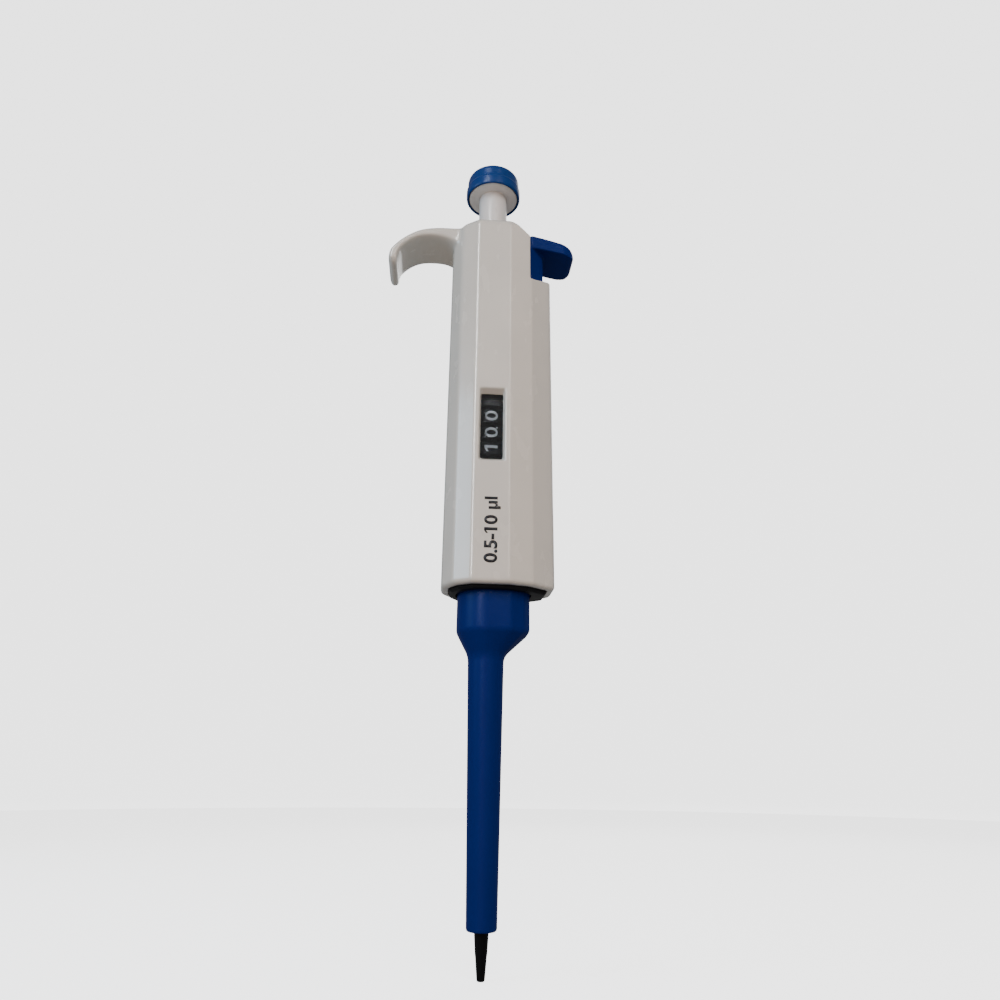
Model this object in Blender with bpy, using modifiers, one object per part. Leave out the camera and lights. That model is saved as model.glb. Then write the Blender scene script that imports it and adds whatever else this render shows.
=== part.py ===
"""Adjustable single-channel micropipette, 0.5 to 10 microlitres, at rest with its counter at 10.0.

The plunger axis is the Z axis, and the end of the nose is the origin. -X is the side of the
finger hook, +X the side of the tip ejector, and -Y the front with the counter.
Every dimension is in millimetres, and MM turns it into metres where a mesh is made.
"""

import math

import bmesh
import bpy
from mathutils import Matrix, Vector

MM = 0.001
GAP = 0.3
STEPS = 24
FINE_STEPS = 40

# Handle
HANDLE_BOTTOM = 91.0
HANDLE_TOP = 207.0
WALL = 2.0
RIM = 1.2
TOP_RIM = 3.2
RIM_STEPS = 3
FRONT = 12.2
FACET = 4.9
HANDLE_HALF = [
    (-12.5, -4.4, 4.0),
    (-9.6, -9.3, 4.0),
    (-FACET, -FRONT, 0.0),
    (FACET, -FRONT, 0.0),
    (11.5, -10.2, 0.0),
    (18.0, -5.0, 3.5),
]
SHOULDER = (4.0, 207.6)
NOTCH_X = 11.1
NOTCH_TOP = 201.8
NOTCH_FLOOR = 186.0
NOTCH_RISE = 0.39
UPPER_CAVITY_X = 8.6
UPPER_CAVITY_TOP = 202.2
STEM_HOLE_R = 5.1
WINDOW_Z = (126.4, 145.8)
WINDOW_HALF = 3.0
BEZEL_SIDE = 0.83
BEZEL_END = 1.93
LENS_HALF = 3.6
HOOK_HALF_DEPTH = 7.5
HOOK_LAND_Z = 202.0

# Nose, tip cone and ejector sleeve
NOSE_END_R = 0.95
NOSE_TOP = 10.2
BORE_R = 0.7
NOSE_HOLE_R = 0.4
CONE_TOP = 106.8
CHAMBER_R = 5.2
COLLAR = [
    (0.0, -8.0, 0.0),
    (6.0, -7.4, 0.0),
    (9.5, -5.4, 0.0),
    (11.4, -2.6, 0.0),
]
COLLAR_R = 8.0
COLLAR_TOP = 104.0

# Ejector button
PADDLE_HALF = 6.8
NECK_FRONT = 6.9
NECK_BACK = 3.5
NECK_X = (11.5, 15.8)
FOOT_HALF = 3.4
FOOT_X = (10.7, 15.6)

# Counter
DRUM_R = 8.3
DRUM_BORE_R = 5.5
DRUM_PITCH = 4.9
DRUM_HEIGHT = 4.6
TENTHS_Z = 137.6
RING_HEIGHT = 0.55
RING_TEETH = 20
PINION_TEETH = 8
MODULE = 0.68
DRIVER_R = 5.2
DRIVER_BORE_R = 4.3
PINION_ANGLE = math.radians(36.0)
PINION_DISTANCE = (RING_TEETH + PINION_TEETH) / 2 * MODULE
PINION_AT = (PINION_DISTANCE * math.cos(PINION_ANGLE), PINION_DISTANCE * math.sin(PINION_ANGLE))
SHAFT_R = 0.55
FRAME_R = 8.5

# Volume stop and plunger
STEM_R = 4.5
CAP_R = 8.8
CAP_SIDE_R = 8.4
ROD_R = 1.4
GUIDE_ROD_R = 0.5
GUIDE_ROD_X = 2.95
NUT_Z = (148.0, 151.0)
HEAD_Z = (113.0, 116.0)
BLOWOUT_Z = 100.7
PISTON_R = 0.535

LOOKS = {
    "ivory": ((0.74, 0.72, 0.66), 0.38, 0.0),
    "blue": ((0.012, 0.06, 0.21), 0.32, 0.0),
    "navy": ((0.004, 0.018, 0.10), 0.35, 0.0),
    "black": ((0.008, 0.008, 0.01), 0.4, 0.0),
    "white": ((0.8, 0.8, 0.78), 0.4, 0.0),
    "dark_grey": ((0.05, 0.05, 0.055), 0.5, 0.0),
    "clear": ((0.9, 0.95, 1.0), 0.05, 0.0),
    "steel": ((0.55, 0.55, 0.56), 0.25, 1.0),
    "brass": ((0.72, 0.52, 0.22), 0.3, 1.0),
    "rubber": ((0.02, 0.02, 0.02), 0.8, 0.0),
}


def clear_scene():
    for thing in list(bpy.data.objects):
        bpy.data.objects.remove(thing, do_unlink=True)


def new_collection(name):
    made = bpy.data.collections.new(name)
    bpy.context.scene.collection.children.link(made)
    return made


def look(name):
    """The named material, made the first time it is asked for."""
    found = bpy.data.materials.get(name)
    if found:
        return found
    colour, roughness, metallic = LOOKS[name]
    made = bpy.data.materials.new(name)
    made.use_nodes = True
    shader = made.node_tree.nodes["Principled BSDF"]
    shader.inputs["Base Color"].default_value = (*colour, 1.0)
    shader.inputs["Roughness"].default_value = roughness
    shader.inputs["Metallic"].default_value = metallic
    return made


def add_object(name, mesh, finish=None):
    """A part when it has a finish, and a cutter or helper when it has none."""
    thing = bpy.data.objects.new(name, mesh)
    if finish:
        parts.objects.link(thing)
        mesh.materials.append(look(finish))
    else:
        cutters.objects.link(thing)
        thing.hide_render = True
        thing.display_type = "WIRE"
    return thing


def smooth_shade(thing, angle=35.0):
    thing.data.shade_smooth()
    thing.data.set_sharp_from_angle(angle=math.radians(angle))


def turned(name, profile, finish=None, steps=STEPS, at=(0.0, 0.0)):
    """Turns (radius, height) points about an axis. Points off the axis at both ends make a ring."""
    mesh = bpy.data.meshes.new(name)
    edges = [(i, i + 1) for i in range(len(profile) - 1)]
    if profile[0][0] > 0:
        edges.append((len(profile) - 1, 0))
    mesh.from_pydata([(r * MM, 0.0, z * MM) for r, z in profile], edges, [])
    thing = add_object(name, mesh, finish)
    thing.location = (at[0] * MM, at[1] * MM, 0.0)
    screw = thing.modifiers.new("turn", "SCREW")
    screw.axis = "Z"
    screw.angle = math.tau
    screw.steps = steps
    screw.render_steps = steps
    screw.use_merge_vertices = True
    screw.merge_threshold = 0.00001
    screw.use_smooth_shade = True
    return thing


def ring(name, r_in, r_out, z0, z1, finish=None, steps=STEPS, at=(0.0, 0.0)):
    profile = [(r_out, z1), (r_out, z0), (r_in, z0), (r_in, z1)]
    return turned(name, profile, finish, steps, at)


def rod(name, r, z0, z1, finish=None, steps=STEPS, at=(0.0, 0.0)):
    return turned(name, [(0.0, z1), (r, z1), (r, z0), (0.0, z0)], finish, steps, at)


def box(name, low, high, finish=None):
    """A block between two corners, with its origin on the plunger axis."""
    work = bmesh.new()
    bmesh.ops.create_cube(work, size=1.0)
    size = Vector(high) - Vector(low)
    middle = (Vector(high) + Vector(low)) / 2
    bmesh.ops.scale(work, vec=size * MM, verts=work.verts)
    bmesh.ops.translate(work, vec=middle * MM, verts=work.verts)
    mesh = bpy.data.meshes.new(name)
    work.to_mesh(mesh)
    work.free()
    return add_object(name, mesh, finish)


def curve_to_mesh(curve_object, name, finish):
    """A closed mesh object in the place of a curve object, which is removed."""
    bpy.context.view_layer.update()
    graph = bpy.context.evaluated_depsgraph_get()
    mesh = bpy.data.meshes.new_from_object(curve_object.evaluated_get(graph))
    work = bmesh.new()
    work.from_mesh(mesh)
    bmesh.ops.remove_doubles(work, verts=work.verts, dist=0.000001)
    bmesh.ops.dissolve_limit(work, angle_limit=0.001, verts=[], edges=work.edges)
    bmesh.ops.recalc_face_normals(work, faces=work.faces)
    work.to_mesh(mesh)
    work.free()
    mesh.materials.clear()
    thing = add_object(name, mesh, finish)
    thing.matrix_world = curve_object.matrix_world
    bpy.data.objects.remove(curve_object, do_unlink=True)
    return thing


def prism(name, outline, low, high, finish=None, at=(0.0, 0.0), along="Z"):
    """An outline extruded: (x, y) points along Z, (x, z) points along Y, or (y, z) points along X."""
    curve = bpy.data.curves.new(name + "_outline", "CURVE")
    curve.dimensions = "2D"
    curve.fill_mode = "BOTH"
    curve.extrude = (high - low) / 2 * MM
    spline = curve.splines.new("POLY")
    spline.points.add(len(outline) - 1)
    for point, (u, v) in zip(spline.points, outline):
        point.co = (u * MM, v * MM, 0.0, 1.0)
    spline.use_cyclic_u = True
    drawn = bpy.data.objects.new(name + "_outline", curve)
    bpy.context.scene.collection.objects.link(drawn)
    middle = (high + low) / 2 * MM
    if along == "Z":
        drawn.matrix_world = Matrix.Translation((at[0] * MM, at[1] * MM, middle))
    elif along == "Y":
        drawn.matrix_world = Matrix.Translation((0.0, middle, 0.0)) @ Matrix.Rotation(math.pi / 2, 4, "X")
    else:
        turn = Matrix(((0, 0, 1, 0), (1, 0, 0, 0), (0, 1, 0, 0), (0, 0, 0, 1)))
        drawn.matrix_world = Matrix.Translation((middle, 0.0, 0.0)) @ turn
    return curve_to_mesh(drawn, name, finish)


def arc(cx, cy, r, start, end, count):
    """Points on an arc, angles in degrees, both ends included."""
    angles = [math.radians(start + (end - start) * i / count) for i in range(count + 1)]
    return [(cx + r * math.cos(a), cy + r * math.sin(a)) for a in angles]


def mirrored(half):
    """The corners of an outline that is the same on both sides of the X axis, from those with y below it."""
    return half + [(x, -y, r) for x, y, r in reversed(half)]


def inset(corners, depth):
    """The corners of a convex, anticlockwise outline moved in by a depth, with smaller fillets."""
    moved = []
    count = len(corners)
    for i in range(count):
        here = Vector(corners[i][:2])
        back = (here - Vector(corners[i - 1][:2])).normalized()
        ahead = (Vector(corners[(i + 1) % count][:2]) - here).normalized()
        inward = Vector((-back.y - ahead.y, back.x + ahead.x))
        inward = inward / (1.0 + back.dot(ahead))
        place = here + inward * depth
        moved.append((place.x, place.y, max(corners[i][2] - depth, 0.0)))
    return moved


def filleted(corners, count=4):
    """Outline points with an arc of each corner's radius."""
    points = []
    total = len(corners)
    for i in range(total):
        x, y, r = corners[i]
        here = Vector((x, y))
        if r == 0.0:
            points.append((x, y))
            continue
        back = (Vector(corners[i - 1][:2]) - here).normalized()
        ahead = (Vector(corners[(i + 1) % total][:2]) - here).normalized()
        half = back.angle(ahead) / 2
        centre = here + (back + ahead).normalized() * r / math.sin(half)
        first = here + back * r / math.tan(half) - centre
        sweep = math.pi - 2 * half
        for k in range(count + 1):
            spoke = Vector(first)
            spoke.rotate(Matrix.Rotation(sweep * k / count, 2))
            points.append(tuple(centre + spoke))
    return points


def through(points, count=4):
    """A smooth line through a few points, both ends included."""
    line = []
    ends = [points[0], *points, points[-1]]
    for i in range(1, len(ends) - 2):
        p0, p1, p2, p3 = (Vector(p) for p in ends[i - 1 : i + 3])
        for k in range(count):
            t = k / count
            bend = (2 * p0 - 5 * p1 + 4 * p2 - p3) * t * t + (3 * p1 - p0 - 3 * p2 + p3) * t**3
            line.append(tuple((2 * p1 + (p2 - p0) * t + bend) / 2))
    return line + [points[-1]]


def combine(target, other, operation):
    step = target.modifiers.new(operation.lower(), "BOOLEAN")
    step.operation = operation
    step.solver = "EXACT"
    step.object = other
    return target


def cut(target, *others):
    for other in others:
        combine(target, other, "DIFFERENCE")
    return target


def join(target, *others):
    for other in others:
        combine(target, other, "UNION")
    return target


def bevel(thing, width, segments=2, angle=50.0):
    step = thing.modifiers.new("bevel", "BEVEL")
    step.width = width * MM
    step.segments = segments
    step.limit_method = "ANGLE"
    step.angle_limit = math.radians(angle)
    return thing


def coil(name, r, wire, z0, z1, turns, finish, at=(0.0, 0.0), per_turn=9):
    """A compression spring of round wire between two heights."""
    curve = bpy.data.curves.new(name, "CURVE")
    curve.dimensions = "3D"
    curve.bevel_depth = wire * MM
    curve.bevel_resolution = 2
    curve.use_fill_caps = True
    count = turns * per_turn
    spline = curve.splines.new("POLY")
    spline.points.add(count)
    for i, point in enumerate(spline.points):
        angle = math.tau * i / per_turn
        height = z0 + wire + (z1 - z0 - 2 * wire) * i / count
        point.co = (r * math.cos(angle) * MM, r * math.sin(angle) * MM, height * MM, 1.0)
    thing = bpy.data.objects.new(name, curve)
    parts.objects.link(thing)
    curve.materials.append(look(finish))
    thing.location = (at[0] * MM, at[1] * MM, 0.0)
    return thing


def loft(name, sections, finish):
    """A closed tube wall from rings of points, each joined to the next, and the last to the first."""
    work = bmesh.new()
    rings = [[work.verts.new(Vector(p) * MM) for p in section] for section in sections]
    count = len(sections[0])
    for i, ring_here in enumerate(rings):
        ring_next = rings[(i + 1) % len(rings)]
        for k in range(count):
            m = (k + 1) % count
            work.faces.new((ring_here[k], ring_here[m], ring_next[m], ring_next[k]))
    bmesh.ops.recalc_face_normals(work, faces=work.faces)
    mesh = bpy.data.meshes.new(name)
    work.to_mesh(mesh)
    work.free()
    return add_object(name, mesh, finish)


def rimmed(name, corners, low, high, finish):
    """An outline raised between two heights, with a round rim at each end and flat caps."""
    turns = [math.pi / 2 * k / RIM_STEPS for k in range(RIM_STEPS + 1)]
    levels = [(RIM * (1 - math.sin(t)), low + RIM * (1 - math.cos(t))) for t in turns]
    levels += [(TOP_RIM * (1 - math.sin(t)), high - TOP_RIM * (1 - math.cos(t))) for t in turns[::-1]]
    work = bmesh.new()
    rings = []
    for depth, height in levels:
        line = filleted(inset(corners, depth))
        rings.append([work.verts.new(Vector((x, y, height)) * MM) for x, y in line])
    for below, above in zip(rings, rings[1:]):
        for k in range(len(below)):
            work.faces.new((below[k - 1], below[k], above[k], above[k - 1]))
    work.faces.new(rings[0][::-1])
    work.faces.new(rings[-1])
    bmesh.ops.recalc_face_normals(work, faces=work.faces)
    mesh = bpy.data.meshes.new(name)
    work.to_mesh(mesh)
    work.free()
    return add_object(name, mesh, finish)


# Handle and what is fixed in it


def make_handle():
    corners = mirrored(HANDLE_HALF)
    body = rimmed("handle_body", corners, HANDLE_BOTTOM, HANDLE_TOP, "ivory")
    join(body, make_hook())
    far, high = 30.0, 220.0
    slope = [SHOULDER, (NOTCH_X, NOTCH_TOP), (NOTCH_X, NOTCH_FLOOR)]
    slope += [(far, NOTCH_FLOOR + NOTCH_RISE * (far - NOTCH_X)), (far, high), (SHOULDER[0], high)]
    cut(body, prism("top_slope_cutter", slope, -20.0, 20.0, along="Y"))
    inner = inset(corners, WALL)
    cut(body, prism("cavity_cutter", filleted(inner), 80.0, NOTCH_FLOOR - WALL))
    left = [corner for corner in inner if corner[0] < 0]
    right = [(UPPER_CAVITY_X, -8.6, 1.0), (UPPER_CAVITY_X, 8.6, 1.0)]
    upper = filleted(left[:3] + right + left[3:])
    cut(body, prism("upper_cavity_cutter", upper, NOTCH_FLOOR - 2 * WALL, UPPER_CAVITY_TOP))
    cut(body, rod("stem_hole_cutter", STEM_HOLE_R, 198.0, 215.0, steps=FINE_STEPS))
    slot = [(NOTCH_X + 0.05, -7.4), (16.2, -3.9), (16.2, 3.9), (NOTCH_X + 0.05, 7.4)]
    cut(body, prism("neck_slot_cutter", slot, 180.0, 195.0))
    cut(body, make_window_cutter())
    smooth_shade(body)
    return body


def make_hook():
    """The finger hook: a curved bar with a flat land under its highest point, where it hangs on a stand."""
    rise = [(-6.0, 206.5), (-12.5, 206.3), (-17.0, 206.0), (-20.5, 205.3), (-24.2, 204.0)]
    top = through(rise + [(-28.3, 201.0), (-31.7, 197.0), (-32.5, 194.0)])
    tip = [(-32.1, 192.5), (-31.0, 191.9), (-30.0, 192.5)]
    under = through([(-29.6, 194.3), (-28.4, 198.0), (-24.6, 200.9), (-20.0, HOOK_LAND_Z)])
    root = through([(-17.0, HOOK_LAND_Z), (-14.2, 201.4), (-12.9, 200.2), (-11.5, 197.5)])
    hook = prism("hook", top + tip + under + root, -HOOK_HALF_DEPTH, HOOK_HALF_DEPTH, along="Y")
    return bevel(hook, 1.0, 2, 60.0)


def make_window_cutter():
    """The window's opening with its sloped bezel: wide at the front face, narrow behind it."""
    low, high = WINDOW_Z
    near = (-WINDOW_HALF, -FRONT - 1.0, low)
    cutter = box("window_cutter", near, (WINDOW_HALF, -FRONT + WALL + 1.0, high))
    middle = (low + high) / 2 * MM
    grow_x = (WINDOW_HALF + BEZEL_SIDE) / WINDOW_HALF
    grow_z = (high - low + 2 * BEZEL_END) / (high - low)
    for point in cutter.data.vertices:
        if point.co.y < -FRONT * MM:
            point.co.x *= grow_x
            point.co.z = middle + (point.co.z - middle) * grow_z
    return cutter


def make_fixed_covers():
    ring("top_bush", 4.75, 6.6, 197.5, 201.9, "dark_grey")
    lens_y = -FRONT + WALL + GAP
    box("window_lens", (-LENS_HALF, lens_y, 124.9), (LENS_HALF, lens_y + 0.8, 147.3), "clear")
    plate = inset(mirrored(HANDLE_HALF), WALL + GAP)
    cover = prism("bottom_cover", filleted(plate), HANDLE_BOTTOM - 1.0, 93.5, "dark_grey")
    opening = [(x, y) for x, y, _ in collar_section(0.5, 0.0)]
    cut(cover, prism("collar_opening_cutter", opening, 89.0, 95.0))


def make_counter_frame():
    """Two plates round the volume driver, joined behind the drums, with holes for the pinion shaft."""
    lobe = arc(*PINION_AT, 1.8, -29, 101, 5)
    outline = arc(0.0, 0.0, FRAME_R, 61, 371, 24) + lobe
    frame = prism("counter_frame", outline, 124.5, 126.5, "dark_grey")
    upper = prism("upper_plate", outline, 143.4, 145.2)
    side = [
        (6.2, 124.8), (9.9, 124.8), (9.9, 144.9), (6.2, 144.9),
        (6.2, 143.7), (8.8, 143.7), (8.8, 126.2), (6.2, 126.2),
    ]  # fmt: skip
    spine = prism("spine", side, -4.0, 4.0, along="X")
    join(frame, upper, spine)
    cut(frame, rod("driver_hole_cutter", DRUM_BORE_R + 0.1, 120.0, 150.0, steps=FINE_STEPS))
    cut(frame, rod("shaft_hole_cutter", SHAFT_R + 0.2, 120.0, 150.0, steps=12, at=PINION_AT))
    rod("pinion_shaft", SHAFT_R, 124.9, 144.8, "steel", 12, at=PINION_AT)


def make_stop_housing():
    housing = [
        (6.9, 124.2), (6.9, 118.0), (8.6, 117.0), (8.6, 112.6), (7.6, 112.6), (7.6, 107.1),
        (CHAMBER_R, 107.1), (CHAMBER_R, 116.3), (1.7, 116.3), (1.7, 118.5), (5.6, 118.5), (5.6, 124.2),
    ]  # fmt: skip
    turned("spring_housing", housing, "dark_grey", 32)
    ring("calibration_nut", 7.2, 8.4, 119.0, 122.0, "brass", 32)
    nut = [(8.5, 112.2), (8.5, 104.4), (7.1, 104.4), (7.1, 105.0), (7.9, 105.0), (7.9, 112.2)]
    turned("coupling_nut", nut, "steel", 32)
    guide = ring("stop_guide", 1.8, DRIVER_R, 118.8, 120.3, "steel")
    for side in (-1, 1):
        place = (side * GUIDE_ROD_X, 0.0)
        join(guide, rod(f"guide_rod_{side}", GUIDE_ROD_R, 119.5, 160.5, steps=10, at=place))


def make_ejector_guide():
    guide = box("ejector_guide", (10.9, -FOOT_HALF, 143.0), (15.4, FOOT_HALF, 145.5), "dark_grey")
    join(guide, rod("guide_post", 1.0, 144.0, 157.5, steps=12, at=(13.0, 0.0)))


def make_tip_cone():
    outer = [
        (7.6, CONE_TOP), (7.6, 105.3), (6.9, 105.3), (6.9, 84.5), (3.2, 78.0), (3.2, 72.0), (2.5, 15.0),
        (1.85, 12.2), (1.78, NOSE_TOP), (1.5, 5.4), (1.24, 5.0),
        (NOSE_END_R, 0.3), (NOSE_END_R - 0.12, 0.0),
    ]  # fmt: skip
    inner = [(NOSE_HOLE_R, 0.0), (NOSE_HOLE_R, 4.2), (BORE_R, 5.0), (BORE_R, 56.0), (2.2, 56.0), (2.2, 88.0)]
    turned("tip_cone", outer + inner + [(CHAMBER_R, 91.5), (CHAMBER_R, CONE_TOP)], "black", 32)
    ring("piston_seal", 0.62, 2.0, 56.3, 58.6, "white", 16)
    turned("seal_oring", arc(1.4, 59.5, 0.6, 0, -315, 7), "rubber", 16)
    ring("seal_retainer", 0.8, 1.95, 60.4, 64.0, "steel", 16)


# Piston and blow-out


def make_piston():
    low, high = HEAD_Z
    head = [(0.0, high), (3.4, high), (3.4, low), (0.75, low), (0.75, low + 1.9), (0.0, low + 1.9)]
    turned("piston_head", head, "dark_grey")
    rod("piston_rod", PISTON_R, 20.0, low + 1.6, "steel", 12)
    coil("piston_spring", 1.45, 0.22, 64.3, low - GAP, 12, "steel", per_turn=8)
    ring("blowout_plate", 2.6, 4.9, BLOWOUT_Z, BLOWOUT_Z + 1.0, "steel")
    coil("blowout_spring", 4.3, 0.4, 91.9, BLOWOUT_Z - GAP, 4, "steel")


# Volume driver, stop nut and counter


def gear_outline(teeth, root_r, tip_r, root_width, tip_width, phase=0.0):
    """Straight-sided teeth, the first centred at the phase angle. Widths are measured across the tooth."""
    points = []
    corners = [(root_r, -root_width), (tip_r, -tip_width), (tip_r, tip_width), (root_r, root_width)]
    for i in range(teeth):
        middle = phase + math.tau * i / teeth
        for r, offset in corners:
            angle = middle + math.asin(offset / 2 / r)
            points.append((r * math.cos(angle), r * math.sin(angle)))
    return points


def make_drum(name, low, has_ring):
    """A counter drum: a band for the digits, a plain collar, and a toothed ring if a pinion drives it."""
    high = low + DRUM_HEIGHT
    band_low = low + RING_HEIGHT
    band_high = high - RING_HEIGHT if has_ring else high
    profile = [
        (DRUM_R, band_high), (DRUM_R, band_low), (6.1, band_low),
        (6.1, low), (DRUM_BORE_R, low), (DRUM_BORE_R, band_high),
    ]  # fmt: skip
    drum = turned(name, profile, "black", FINE_STEPS)
    if has_ring:
        pitch_r = RING_TEETH / 2 * MODULE
        teeth = gear_outline(RING_TEETH, pitch_r - 0.55, pitch_r + 0.45, 1.15, 0.6)
        toothed = prism(name + "_ring", teeth, band_high - 0.4, high)
        cut(toothed, rod(name + "_ring_bore", DRUM_BORE_R + 0.1, low, high + 1.0))
        join(drum, toothed)
    return drum


def make_pinion(name, low):
    """A carry pinion, at rest with a tooth gap facing the ring's tooth that points at the shaft."""
    pitch_r = PINION_TEETH / 2 * MODULE
    phase = PINION_ANGLE + math.pi + math.pi / PINION_TEETH
    teeth = gear_outline(PINION_TEETH, pitch_r - 0.62, pitch_r + 0.42, 1.1, 0.5, phase)
    pinion = prism(name, teeth, low, low + 1.1, "white", at=PINION_AT)
    cut(pinion, rod(name + "_bore", SHAFT_R + 0.2, low - 1.0, low + 2.5, steps=12, at=PINION_AT))


def make_counter():
    for index, name in enumerate(("tenths_drum", "units_drum", "tens_drum")):
        low = TENTHS_Z - DRUM_PITCH * index
        make_drum(name, low, index > 0)
        if index > 0:
            make_pinion("carry_pinion_" + name.split("_")[0], low + DRUM_HEIGHT - RING_HEIGHT + 0.1)


def make_volume_stop():
    driver = ring("volume_driver", DRIVER_BORE_R, DRIVER_R, 122.5, NOTCH_FLOOR, "white", 32)
    cut(driver, box("drive_slot_cutter", (-7.0, -0.9, 162.5), (7.0, 0.9, 190.0)))
    nut = ring("stop_nut", ROD_R + GAP, DRIVER_BORE_R - 0.25, *NUT_Z, "brass")
    for side in (-1, 1):
        place = (side * GUIDE_ROD_X, 0.0)
        cut(nut, rod(f"nut_hole_{side}", GUIDE_ROD_R + 0.2, 146.0, 153.0, steps=10, at=place))


# Plunger


def make_plunger():
    stem = [
        (0.0, 228.7), (STEM_R, 228.7), (STEM_R, 200.3), (3.9, 199.7),
        (3.9, 182.3), (1.6, 182.3), (1.6, 226.0), (0.0, 226.0),
    ]  # fmt: skip
    turned("plunger_stem", stem, "white", FINE_STEPS)
    hub = ring("drive_hub", ROD_R + GAP, 4.0, 178.0, 182.0, "dark_grey")
    lugs = box("drive_lugs", (-5.0, -0.6, 178.6), (5.0, 0.6, 181.4))
    cut(lugs, rod("lug_bore_cutter", 3.0, 175.0, 185.0))
    join(hub, lugs)
    push = [
        (0.0, 225.7), (ROD_R, 225.7), (ROD_R, 167.8), (2.0, 167.8),
        (2.0, 165.3), (ROD_R, 165.3), (ROD_R, 116.3), (0.0, 116.3),
    ]  # fmt: skip
    turned("push_rod", push, "steel", 16)
    cap = [
        (0.0, 231.6), (6.6, 231.5), (7.7, 231.1), (8.25, 230.4), (CAP_SIDE_R, 229.5), (CAP_SIDE_R, 227.0),
        (CAP_R, 226.5), (CAP_R, 223.8), (8.55, 223.3), (8.15, 223.3), (8.15, 224.9), (4.8, 224.9),
        (4.8, 229.0), (0.0, 229.0),
    ]  # fmt: skip
    turned("plunger_cap", cap, "blue", FINE_STEPS)
    ring("cap_insert", 4.8, 7.85, 223.6, 224.6, "white", FINE_STEPS)


# Tip ejector


def collar_section(grow, height):
    """The collar's outline at FINE_STEPS angles: a round back, and room for the ejector bar at +X."""
    back = [(x, y, 0.0) for x, y in arc(0.0, 0.0, COLLAR_R, 90, 270, 18)]
    corners = inset(back[:-1] + COLLAR + [(x, -y, r) for x, y, r in reversed(COLLAR)][:-1], -grow)
    section = []
    for i in range(FINE_STEPS):
        ray = Vector((math.cos(math.tau * i / FINE_STEPS), math.sin(math.tau * i / FINE_STEPS)))
        reach = 0.0
        for k in range(len(corners)):
            start = Vector(corners[k - 1][:2])
            edge = Vector(corners[k][:2]) - start
            cross = ray.x * edge.y - ray.y * edge.x
            if abs(cross) < 1e-9:
                continue
            distance = (start.x * edge.y - start.y * edge.x) / cross
            share = (start.x * ray.y - start.y * ray.x) / cross
            if distance > 0 and -1e-6 <= share <= 1 + 1e-6:
                reach = max(reach, distance)
        section.append((ray.x * reach, ray.y * reach, height))
    return section


def round_section(r, height):
    return [(x, y, height) for x, y in arc(0.0, 0.0, r, 0, 360, FINE_STEPS)[:-1]]


def make_sleeve():
    wall = 0.8
    sections = [
        collar_section(0.0, COLLAR_TOP),
        collar_section(0.0, 80.0),
        round_section(4.75, 73.8),
        round_section(3.7, NOSE_TOP + 0.5),
        round_section(3.5, NOSE_TOP),
        round_section(2.2, NOSE_TOP),
        round_section(2.2, 12.0),
        round_section(2.85, 12.6),
        round_section(3.95, 73.8),
        collar_section(-wall, 81.0),
        collar_section(-wall, COLLAR_TOP),
    ]
    sleeve = loft("ejector_sleeve", sections, "navy")
    smooth_shade(sleeve)


def make_ejector():
    make_sleeve()
    box("ejector_bar", (9.1, -1.6, 84.0), (10.3, 1.6, 182.0), "steel")
    top = through([(NECK_X[0], 205.0), (18.0, 203.4), (23.0, 201.9), (25.0, 200.9), (25.8, 199.6)])
    under = [(25.4, 198.5), (24.3, 198.1), (16.0, 199.6), (NECK_X[0], 200.3)]
    button = prism("ejector_button", top + under, -PADDLE_HALF, PADDLE_HALF, "navy", along="Y")
    edge = PADDLE_HALF + 0.05
    plan = [(11.4, -edge, 1.0), (25.9, -edge, 4.5), (25.9, edge, 4.5), (11.4, edge, 1.0)]
    combine(button, prism("button_plan", filleted(plan, 5), 190.0, 210.0), "INTERSECT")
    neck = [
        (NECK_X[0], -NECK_FRONT), (NECK_X[1], -NECK_BACK), (NECK_X[1], NECK_BACK), (NECK_X[0], NECK_FRONT),
    ]  # fmt: skip
    join(button, prism("button_neck", neck, 182.5, 201.0))
    join(button, box("button_foot", (FOOT_X[0], -FOOT_HALF, 166.0), (FOOT_X[1], FOOT_HALF, 184.0)))
    smooth_shade(button)
    coil("ejector_spring", 2.0, 0.3, 145.8, 165.7, 6, "steel", at=(13.0, 0.0))


def group_by_motion():
    """One empty on the axis of each moving body, with the body's parts as its children."""
    bodies = {
        "plunger_axis": ("plunger_stem", "drive_hub", "push_rod", "plunger_cap", "cap_insert"),
        "volume_axis": ("volume_driver", "tenths_drum"),
        "stop_nut_axis": ("stop_nut",),
        "piston_axis": ("piston_head", "piston_rod"),
        "blowout_axis": ("blowout_plate",),
        "ejector_axis": ("ejector_sleeve", "ejector_bar", "ejector_button"),
    }
    for name, members in bodies.items():
        empty = bpy.data.objects.new(name, None)
        empty.empty_display_size = 0.01
        parts.objects.link(empty)
        for member in members:
            bpy.data.objects[member].parent = empty


clear_scene()
parts = new_collection("micropipette")
cutters = new_collection("cutters")
make_handle()
make_fixed_covers()
make_counter_frame()
make_stop_housing()
make_ejector_guide()
make_tip_cone()
make_piston()
make_counter()
make_volume_stop()
make_plunger()
make_ejector()
group_by_motion()
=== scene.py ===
"""Looks for the adjustable micropipette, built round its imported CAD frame.

Lengths in the tables are millimetres in the row frame, and MM turns them into metres.
-X is the side of the finger hook, +X the side of the tip ejector, -Y the front.
"""

import math

import bmesh
import bpy
import numpy as np
from mathutils import Matrix, Vector


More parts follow.
